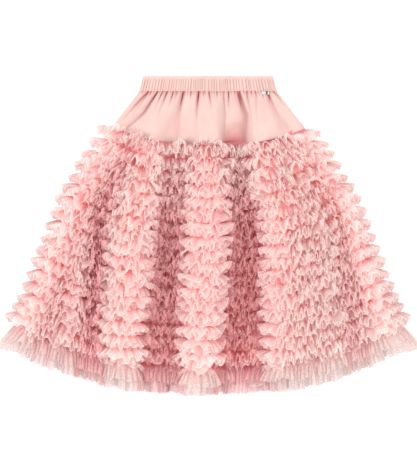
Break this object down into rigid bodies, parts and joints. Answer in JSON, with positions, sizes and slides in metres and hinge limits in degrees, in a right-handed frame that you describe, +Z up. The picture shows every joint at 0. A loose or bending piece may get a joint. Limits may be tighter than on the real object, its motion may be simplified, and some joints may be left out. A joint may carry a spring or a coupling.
{
  "type": "tulle skirt",
  "caption": "Child's skirt laid out flat: ribbed elastic waistband, smooth gathered yoke and rows of tulle ruffles, in soft rolls, down to a longer flounce at the hem.",
  "frame": {"origin": "middle of the skirt's box in plan, on the surface that it lies on", "axes": "+X to the right as the front is seen, +Y towards the waistband, +Z up, out of the front"},
  "size_m": [0.7864, 0.607, 0.0902],
  "materials": {
    "tulle": "fine open nylon net, gathered, dusty blush pink, slightly see-through at its edges",
    "yoke_cloth": "smooth plain-woven cotton, pale peach pink, matt",
    "label_tape": "plain woven tape, off-white, bare"
  },
  "bodies": {
    "root": {"waistband_front": "yoke_cloth", "waistband_back": "yoke_cloth", "yoke_front": "yoke_cloth", "yoke_back": "yoke_cloth", "skirt_back": "yoke_cloth", "loop_label": "label_tape", "skirt_front_1": "yoke_cloth", "skirt_front_2": "yoke_cloth", "skirt_front_3": "yoke_cloth", "skirt_front_4": "yoke_cloth", "skirt_front_5": "yoke_cloth", "ruffle_front_01": "tulle", "ruffle_front_02": "tulle", "ruffle_front_03": "tulle", "ruffle_front_04": "tulle", "ruffle_front_05": "tulle", "ruffle_front_06": "tulle", "ruffle_front_07": "tulle", "ruffle_front_08": "tulle", "ruffle_front_09": "tulle", "ruffle_front_10": "tulle", "ruffle_front_11": "tulle", "ruffle_front_12": "tulle", "ruffle_front_13": "tulle", "ruffle_front_14": "tulle", "ruffle_front_15": "tulle", "ruffle_front_16": "tulle", "ruffle_front_17": "tulle", "ruffle_front_18": "tulle", "ruffle_back_01": "tulle", "ruffle_back_02": "tulle", "ruffle_back_03": "tulle", "ruffle_back_04": "tulle", "ruffle_back_05": "tulle", "ruffle_back_06": "tulle", "ruffle_back_07": "tulle", "ruffle_back_08": "tulle", "ruffle_back_09": "tulle", "ruffle_back_10": "tulle", "ruffle_back_11": "tulle", "ruffle_back_12": "tulle", "ruffle_back_13": "tulle", "ruffle_back_14": "tulle", "ruffle_back_15": "tulle", "ruffle_back_16": "tulle", "ruffle_back_17": "tulle", "ruffle_back_18": "tulle"}
  },
  "joints": []
}
